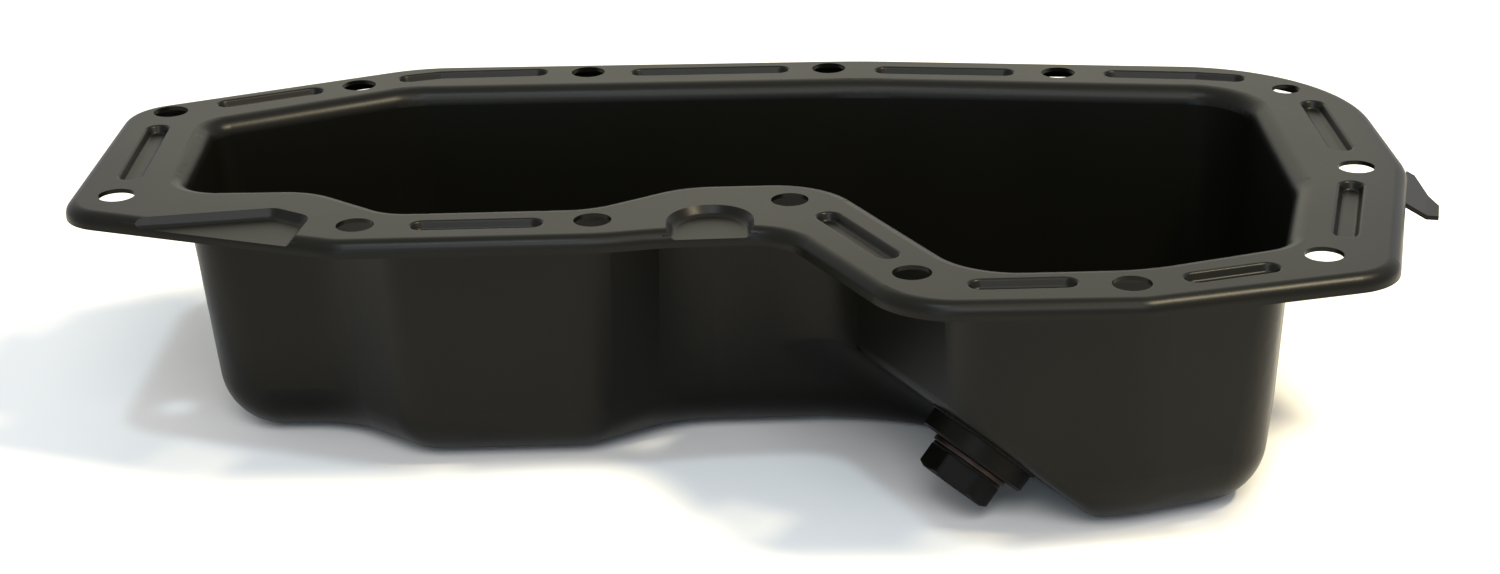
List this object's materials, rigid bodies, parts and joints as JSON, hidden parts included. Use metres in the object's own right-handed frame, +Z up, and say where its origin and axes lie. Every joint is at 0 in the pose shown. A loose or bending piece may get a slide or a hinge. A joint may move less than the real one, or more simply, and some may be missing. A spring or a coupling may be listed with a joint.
{
  "type": "engine oil pan",
  "caption": "Pressed steel oil pan with a bolted flange, stiffening beads and a sump with a drain nut, sealing washer and drain plug on its sloped facet.",
  "frame": {"origin": "under the middle of the pan's outline, on the floor's underside", "axes": "+X along the pan's length towards the sump's end, +Y towards the back edge, +Z up out of the mouth"},
  "size_m": [0.3686, 0.2023, 0.078],
  "materials": {
    "black_paint": "satin black coating",
    "nut_paint": "satin black coating",
    "washer_metal": "dark coated copper",
    "plug_finish": "black phosphate"
  },
  "bodies": {
    "pan": {"oil_pan": "black_paint", "drain_nut": "nut_paint"},
    "washer": {"sealing_washer": "washer_metal"},
    "plug": {"drain_plug": "plug_finish"}
  },
  "joints": [
    {"name": "plug_travel", "type": "slide", "parent": "pan", "child": "washer", "axis": [-0.6036, -0.3062, -0.7361], "range_m": [0, 0.01125]},
    {"name": "plug_turn", "type": "hinge", "parent": "washer", "child": "plug", "pos_m": [0.0607, -0.0544, 0.0204], "axis": [-0.6036, -0.3062, -0.7361], "range_deg": [0, 2700]}
  ],
  "couplings": [
    {"joint": "plug_turn", "follows": "plug_travel", "rad_per_m": 4188.8}
  ]
}
